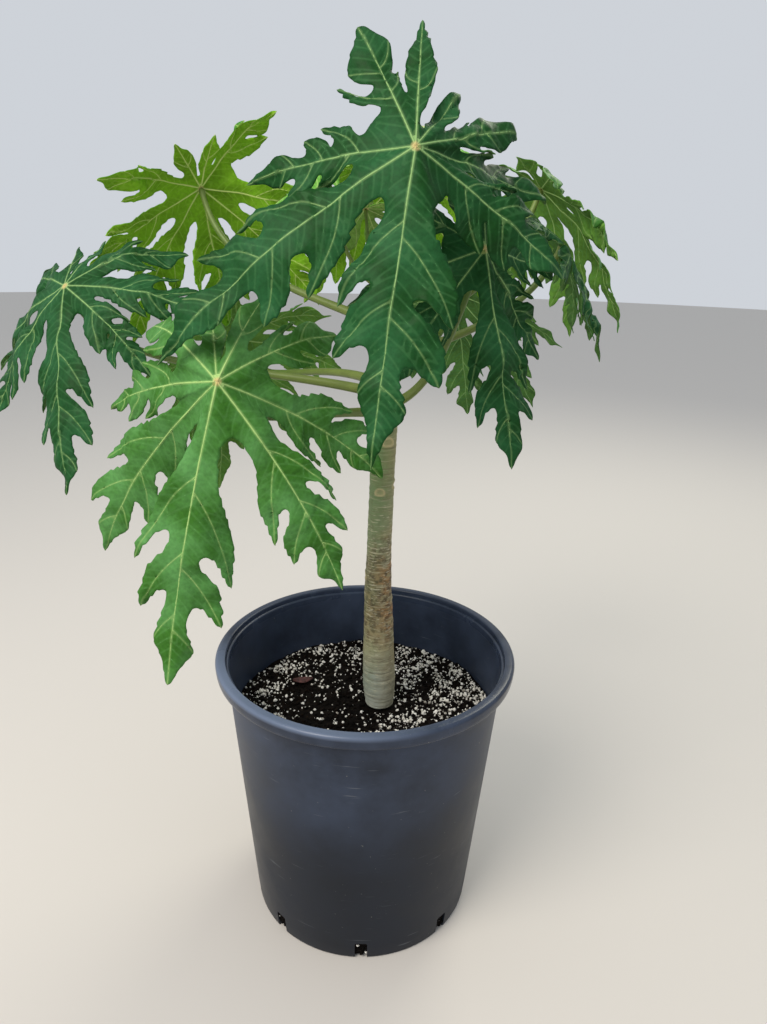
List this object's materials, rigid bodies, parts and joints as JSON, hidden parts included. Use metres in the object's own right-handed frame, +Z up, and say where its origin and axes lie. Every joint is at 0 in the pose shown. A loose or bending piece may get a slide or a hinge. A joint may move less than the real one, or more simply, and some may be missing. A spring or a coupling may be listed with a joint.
{
  "type": "potted papaya tree",
  "caption": "Young papaya tree with long-stalked, deeply lobed palmate leaves on a slender trunk, in a round nursery pot filled with potting mix.",
  "frame": {"origin": "middle of the pot's flat underside", "axes": "+Z up along the pot's axis; -Y towards the side that the picture shows; +X to that side's right"},
  "size_m": [0.8991, 0.7724, 1.2527],
  "materials": {
    "pot": "matt black moulded plastic with dusty scuffs",
    "potting_mix": "loose moist crumbs with white perlite grains",
    "trunk": "smooth green to grey bark with fine rings and leaf scars",
    "stalks": "smooth waxy green stalk",
    "blades": "satin green leaf with pale yellow-green veins"
  },
  "bodies": {
    "root": {"pot": "pot", "potting_mix": "potting_mix", "trunk": "trunk", "stalk_front": "stalks", "blade_front": "blades", "stalk_low_left": "stalks", "blade_low_left": "blades", "stalk_far_left": "stalks", "blade_far_left": "blades", "stalk_right": "stalks", "blade_right": "blades", "stalk_upper_left": "stalks", "blade_upper_left": "blades", "stalk_back": "stalks", "blade_back": "blades", "stalk_back_right": "stalks", "blade_back_right": "blades", "stalk_right_side": "stalks", "blade_right_side": "blades", "stalk_low_back_left": "stalks", "blade_low_back_left": "blades", "stalk_low_back_right": "stalks", "blade_low_back_right": "blades", "stalk_young_low": "stalks", "blade_young_low": "blades", "stalk_young_mid": "stalks", "blade_young_mid": "blades", "stalk_young_top": "stalks", "blade_young_top": "blades"}
  },
  "joints": []
}
